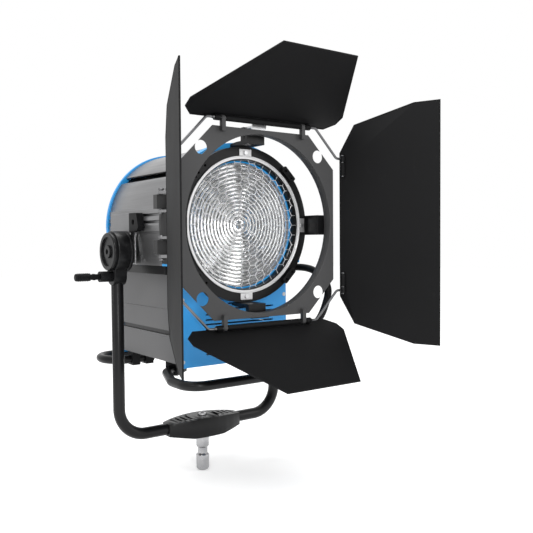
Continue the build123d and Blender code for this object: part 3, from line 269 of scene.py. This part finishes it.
slots = {row["node"]: row["material_slot"] for row in frame["record"]["subparts"]}
for node, obj in frame["nodes"].items():
    obj.data.materials.clear()
    obj.data.materials.append(own_looks.get(node, materials[slots[node]]))
    obj.modifiers.new("weld", "WELD").merge_threshold = 0.00001
    bevel = obj.modifiers.new("bevel", "BEVEL")
    bevel.width = 0.0006
    bevel.segments = 2
    bevel.limit_method = "ANGLE"
    bevel.angle_limit = math.radians(35)
    bevel.harden_normals = True

# ---------------------------------------------------------------- built pieces
RING_FRONT = -0.172         # front face of the lens door's ring
LENS_SEAT = -0.152          # plane that the lens rests on


def piece(name, vertices, faces, look, body, slot, smooth=35):
    """A mesh in the row frame that rides on one CAD body."""
    mesh = bpy.data.meshes.new(name)
    mesh.from_pydata([tuple(v) for v in vertices], [], faces)
    mesh.validate()
    mesh.update()
    mesh.shade_smooth()
    mesh.set_sharp_from_angle(angle=math.radians(smooth))
    mesh.materials.append(look)
    obj = bpy.data.objects.new(name, mesh)
    bpy.context.scene.collection.objects.link(obj)
    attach(obj, body)
    return obj


def lathe(profile, segments):
    """Closed (radius, y) profile turned about the lens axis."""
    turns = [2 * math.pi * k / segments for k in range(segments)]
    vertices = [(r * math.cos(turn), y, LENS_Z + r * math.sin(turn)) for turn in turns for r, y in profile]
    count = len(profile)
    faces = []
    for k in range(segments):
        for i in range(count):
            j = (i + 1) % count
            near, far = k * count, (k + 1) % segments * count
            faces.append((near + i, near + j, far + j, far + i))
    return vertices, faces


def tube(points, radius, sides=8, closed=False):
    """Round rod through points; closed joins the last point to the first."""
    vertices, faces = [], []
    total = len(points)
    for i, point in enumerate(points):
        before = points[i - 1] if closed or i else point
        after = points[(i + 1) % total] if closed or i < total - 1 else point
        along = (Vector(after) - Vector(before)).normalized()
        side = along.orthogonal().normalized() if i == 0 else (side - along * side.dot(along)).normalized()
        other = along.cross(side)
        for k in range(sides):
            turn = 2 * math.pi * k / sides
            vertices.append(Vector(point) + (side * math.cos(turn) + other * math.sin(turn)) * radius)
    for i in range(total if closed else total - 1):
        a, b = i * sides, (i + 1) % total * sides
        faces += [(a + k, a + (k + 1) % sides, b + (k + 1) % sides, b + k) for k in range(sides)]
    if not closed:
        faces += [tuple(reversed(range(sides))), tuple(range((total - 1) * sides, total * sides))]
    return vertices, faces


def join(parts):
    """One (vertices, faces) out of several."""
    vertices, faces = [], []
    for some_vertices, some_faces in parts:
        shift = len(vertices)
        vertices += some_vertices
        faces += [tuple(i + shift for i in face) for face in some_faces]
    return vertices, faces


def brick(low, high):
    """Box between two corners."""
    (a, b, c), (d, e, f) = low, high
    vertices = [(a, b, c), (d, b, c), (d, e, c), (a, e, c), (a, b, f), (d, b, f), (d, e, f), (a, e, f)]
    return vertices, [(3, 2, 1, 0), (4, 5, 6, 7), (0, 1, 5, 4), (1, 2, 6, 5), (2, 3, 7, 6), (3, 0, 4, 7)]


# Fresnel lens: stepped rings on the front, flat back, plain rim under the seal.
STEP = 0.0075               # width of one ring
profile = [(0.0002, LENS_SEAT + 0.0048), (0.129, LENS_SEAT + 0.0048), (0.129, LENS_SEAT + 0.0001),
           (0.1235, LENS_SEAT + 0.0001)]
for ring in range(15, 0, -1):
    edge = 0.010 + ring * STEP
    profile += [(edge, LENS_SEAT - 0.0003), (edge - 0.0006, LENS_SEAT - 0.0036),
                (edge - STEP * 0.55, LENS_SEAT - 0.0030)]
profile += [(0.010, LENS_SEAT - 0.0006), (0.007, LENS_SEAT - 0.0030), (0.0002, LENS_SEAT - 0.0042)]
lens = piece("fresnel_lens", *lathe(profile, 128), materials["lens_glass"], "lens_door", "lens_glass", 20)
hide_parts("lens")

# Wire guard: round wires bent to hexagons, caught under the guard's ring.
CELL = 0.020                # height of one hexagon
WIRE_R = 0.00055
WIRE_Y = RING_FRONT + 0.0008
MESH_REACH = 0.1285         # the wires end here, under the ring
corners = {}
edges = set()
for column in range(-9, 10):
    for row in range(-9, 10):
        x, z = column * CELL * math.sqrt(3) / 2, (row + column % 2 / 2) * CELL
        loop = []
        for k in range(6):
            turn = math.radians(60 * k)
            corner = (x + CELL / math.sqrt(3) * math.cos(turn), z + CELL / math.sqrt(3) * math.sin(turn))
            key = (round(corner[0], 5), round(corner[1], 5))
            corners[key] = corner
            loop.append(key)
        edges |= {tuple(sorted((loop[k], loop[(k + 1) % 6]))) for k in range(6)}
wires = []
for start, end in sorted(edges):
    a, b = corners[start], corners[end]
    inside_a, inside_b = math.hypot(*a) < MESH_REACH, math.hypot(*b) < MESH_REACH
    if not (inside_a or inside_b):
        continue
    if not inside_a:
        a, b, inside_b = b, a, False
    if not inside_b:
        low, high = 0.0, 1.0
        for _ in range(14):
            middle = (low + high) / 2
            at = (a[0] + (b[0] - a[0]) * middle, a[1] + (b[1] - a[1]) * middle)
            low, high = (middle, high) if math.hypot(*at) < MESH_REACH else (low, middle)
        b = (a[0] + (b[0] - a[0]) * low, a[1] + (b[1] - a[1]) * low)
    if math.hypot(a[0] - b[0], a[1] - b[1]) > 0.001:
        wires.append(tube([(a[0], WIRE_Y, LENS_Z + a[1]), (b[0], WIRE_Y, LENS_Z + b[1])], WIRE_R, 6))
guard = piece("wire_guard", *join(wires), wire_look, "lens_door", "steel", 50)
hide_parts("wire_mesh")

# Leaves: a rolled hem round each sheet. Outlines are (along the hinge, away from it) for half a leaf.
HINGE_Y = -0.236
HEM_R = 0.0015
NARROW = ((154, -7), (172, 12), (173, 34), (81, 194))
RIGHT = ((147, -7), (202, 23), (238, 144), (241, 194))
LEFT = ((147, -7), (196, 23), (232, 144), (234, 194))
SHEET_MIDDLE = 0.0068       # from the hinge axis to the middle of the sheet
LEAVES = (("top", NARROW, 0.190, 28.5), ("right", RIGHT, 0.198, 32), ("bottom", NARROW, 0.190, 26),
          ("left", LEFT, 0.198, 22.5))
for quarter, (side, half, reach_out, opening) in enumerate(LEAVES):
    turn = -math.pi / 2 * quarter
    outward = Vector((-math.sin(turn), 0, math.cos(turn)))
    along = Vector((math.cos(turn), 0, math.sin(turn)))
    hinge = Vector((0, HINGE_Y, LENS_Z)) + outward * reach_out
    lean = math.radians(opening)
    ahead = Vector((0, -math.cos(lean), 0)) + outward * math.sin(lean)
    inward = along.cross(ahead)
    outline = list(half) + [(-u, v) for u, v in reversed(half)]
    hem = [hinge - inward * SHEET_MIDDLE + (along * u + ahead * v) * MM for u, v in outline]
    piece(side + "_leaf_hem", *tube(hem, HEM_R, 8, closed=True), materials["leaf_paint"], "leaf_" + side,
          "leaf_paint", 50)

# Side panels: fine lengthwise ribs below the slots. The panel leans out from its lower edge to the lens axis.
RIB_COUNT, RIB_PITCH, RIB_START = 17, 0.0031, 0.3755
RIB_FRONT, RIB_BACK, RIB_HALF = -0.1195, 0.1125, 0.0007
PANEL_LOW_X, PANEL_LOW_Z, PANEL_LEAN = 0.154, 0.3711, 0.006 / 0.0779
ribs = []
for side in (-1, 1):
    for step in range(RIB_COUNT):
        z = RIB_START + step * RIB_PITCH
        x = PANEL_LOW_X + PANEL_LEAN * (z - PANEL_LOW_Z)
        low, high = sorted((side * (x - 0.0002), side * (x + 0.0006)))
        ribs.append(brick((low, RIB_FRONT, z - RIB_HALF), (high, RIB_BACK, z + RIB_HALF)))
piece("side_panel_ribs", *join(ribs), materials["grey_panel"], "head", "grey_panel")

# Slide rails: sawn front end that shows the extrusion's walls and three cells.
CUT_FRONT, CUT_BACK = -0.0190, -0.0181
WALL_THICK = 0.002
RAIL_LOW, RAIL_HIGH = 0.373, 0.474
RAIL_INNER, RAIL_OUTER = 0.1610, 0.1740
ends = []
for side in (-1, 1):
    for low, high in ((RAIL_INNER, RAIL_INNER + WALL_THICK), (RAIL_OUTER - WALL_THICK, RAIL_OUTER)):
        a, b = sorted((side * low, side * high))
        ends.append(brick((a, CUT_FRONT, RAIL_LOW), (b, CUT_BACK, RAIL_HIGH)))
    for z in (RAIL_LOW, 0.405, 0.438, RAIL_HIGH - WALL_THICK):
        a, b = sorted((side * (RAIL_INNER + WALL_THICK), side * (RAIL_OUTER - WALL_THICK)))
        ends.append(brick((a, CUT_FRONT, z), (b, CUT_BACK, z + WALL_THICK)))
piece("rail_cut_ends", *join(ends), materials["bare_aluminium"], "tilt_carriage", "bare_aluminium")

# Tilt lock: moulded rings round the grip.
LOCK_Z = 0.349
GRIP_X, GRIP_PITCH, GRIP_R = -0.2555, 0.0038, 0.0075
grip = []
for step in range(6):
    x = GRIP_X - step * GRIP_PITCH
    turns = [math.radians(15 * k) for k in range(24)]
    ring = [(x, GRIP_R * math.cos(turn), LOCK_Z + GRIP_R * math.sin(turn)) for turn in turns]
    grip.append(tube(ring, 0.0007, 6, closed=True))
piece("tilt_lock_grip_rings", *join(grip), materials["black_plastic"], "tilt_lock_tip", "black_plastic", 50)

# Focus knob: moulded grip ridges round its rim.
knob_low, knob_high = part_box("focus_knob")
knob_r = (knob_high[0] - knob_low[0]) / 2
knob_z = (knob_low[2] + knob_high[2]) / 2
ridges = []
for step in range(24):
    turn = 2 * math.pi * step / 24
    x, z = (knob_r - 0.0004) * math.cos(turn), knob_z + (knob_r - 0.0004) * math.sin(turn)
    ridges.append(tube([(x, knob_high[1] - 0.014, z), (x, knob_high[1] - 0.003, z)], 0.0010, 8))
piece("focus_knob_ridges", *join(ridges), materials["black_plastic"], "focus_screw", "black_plastic", 50)

# ---------------------------------------------------------------- stage, light and camera
def area_light(name, place, target, size, power):
    data = bpy.data.lights.new(name, "AREA")
    data.shape = "DISK"
    data.size = size
    data.energy = power
    lamp = bpy.data.objects.new(name, data)
    bpy.context.scene.collection.objects.link(lamp)
    lamp.location = place
    lamp.rotation_euler = (Vector(target) - Vector(place)).to_track_quat("-Z", "Y").to_euler()


FLOOR_Z = cad_bounds[0].z - 0.001
FLOOR_HALF = 9.0
floor_corners = [(x * FLOOR_HALF, y * FLOOR_HALF, FLOOR_Z) for x, y in ((-1, -1), (1, -1), (1, 1), (-1, 1))]
floor_mesh = bpy.data.meshes.new("floor")
floor_mesh.from_pydata(floor_corners, [], [(0, 1, 2, 3)])
floor = bpy.data.objects.new("floor", floor_mesh)
bpy.context.scene.collection.objects.link(floor)
floor_look = Nodes("pale_floor")
floor_tone = floor_look.mix(floor_look.noise(2.5, 3), rgba(0.94, 0.94, 0.94), rgba(0.97, 0.97, 0.97))
floor.data.materials.append(floor_look.finish(
    Base_Color=floor_tone, Roughness=0.9, Specular_IOR_Level=0.0,
    Emission_Color=rgba(1, 1, 1), Emission_Strength=0.14))

world = bpy.data.worlds.new("studio")
bpy.context.scene.world = world
world.use_nodes = True
world.node_tree.nodes["Background"].inputs["Color"].default_value = rgba(1, 1, 1)
world.node_tree.nodes["Background"].inputs["Strength"].default_value = 1.0
MIDDLE = (0, 0, 0.4)
area_light("key", (-1.6, -1.6, 2.2), MIDDLE, 1.2, 38)
area_light("fill", (2.0, -1.8, 1.2), MIDDLE, 1.6, 16)
area_light("top", (0.0, 0.6, 2.4), MIDDLE, 1.4, 22)
area_light("catch", (-0.9, -2.4, 0.9), (0, -0.15, 0.45), 0.35, 14)    # small light mirrored in the lens

camera_data = bpy.data.cameras.new("camera")
camera = bpy.data.objects.new("camera", camera_data)
bpy.context.scene.collection.objects.link(camera)
forward = Vector((0.59122, 0.80571, -0.03591))
camera_up = Vector((0.02742, 0.02443, 0.99933))
right = forward.cross(camera_up).normalized()
camera_up = right.cross(forward).normalized()
axes = Matrix((right, camera_up, -forward)).transposed().to_4x4()
camera.matrix_world = Matrix.Translation((-0.7769, -1.2993, 0.4161)) @ axes
camera_data.lens = 47.14
camera_data.clip_start = 0.02
bpy.context.scene.camera = camera
bpy.context.scene.view_settings.view_transform = "Standard"
